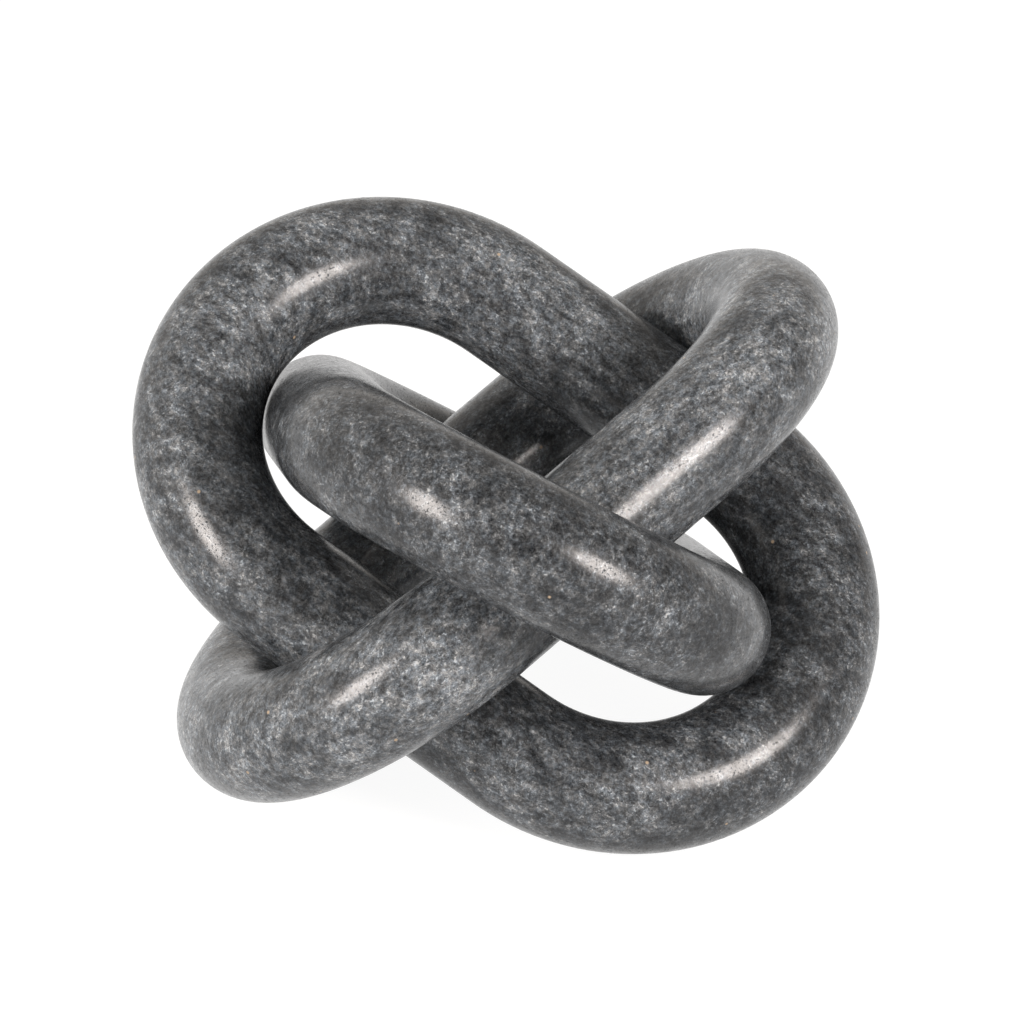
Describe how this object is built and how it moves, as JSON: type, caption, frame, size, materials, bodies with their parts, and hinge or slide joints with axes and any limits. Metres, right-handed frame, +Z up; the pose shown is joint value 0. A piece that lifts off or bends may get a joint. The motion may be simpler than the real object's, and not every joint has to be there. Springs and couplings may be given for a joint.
{
  "type": "marble chain link decor",
  "caption": "Interlocked oval links of polished dark marble, each passing through the next, resting as a low pile.",
  "frame": {"origin": "middle of the pile's footprint, on the surface that the links rest on", "axes": "+Z up, the picture is taken from the -Y side, +X is to its right"},
  "size_m": [0.1854, 0.1812, 0.1207],
  "materials": {
    "dark_marble": "satin polish, fine light speckle"
  },
  "bodies": {
    "front_link": {"front_link": "dark_marble"},
    "right_link": {"right_link": "dark_marble"},
    "left_link": {"left_link": "dark_marble"}
  },
  "joints": [
    {"name": "right_link_tilt", "type": "hinge", "parent": "front_link", "child": "right_link", "pos_m": [0, 0, 0.06028], "axis": [-0.7071, 0.7071, 0], "range_deg": [0, 10.5]},
    {"name": "left_link_tilt", "type": "hinge", "parent": "front_link", "child": "left_link", "pos_m": [0, 0, 0.06028], "axis": [-0.2588, -0.9659, 0], "range_deg": [0, 10.5]}
  ]
}
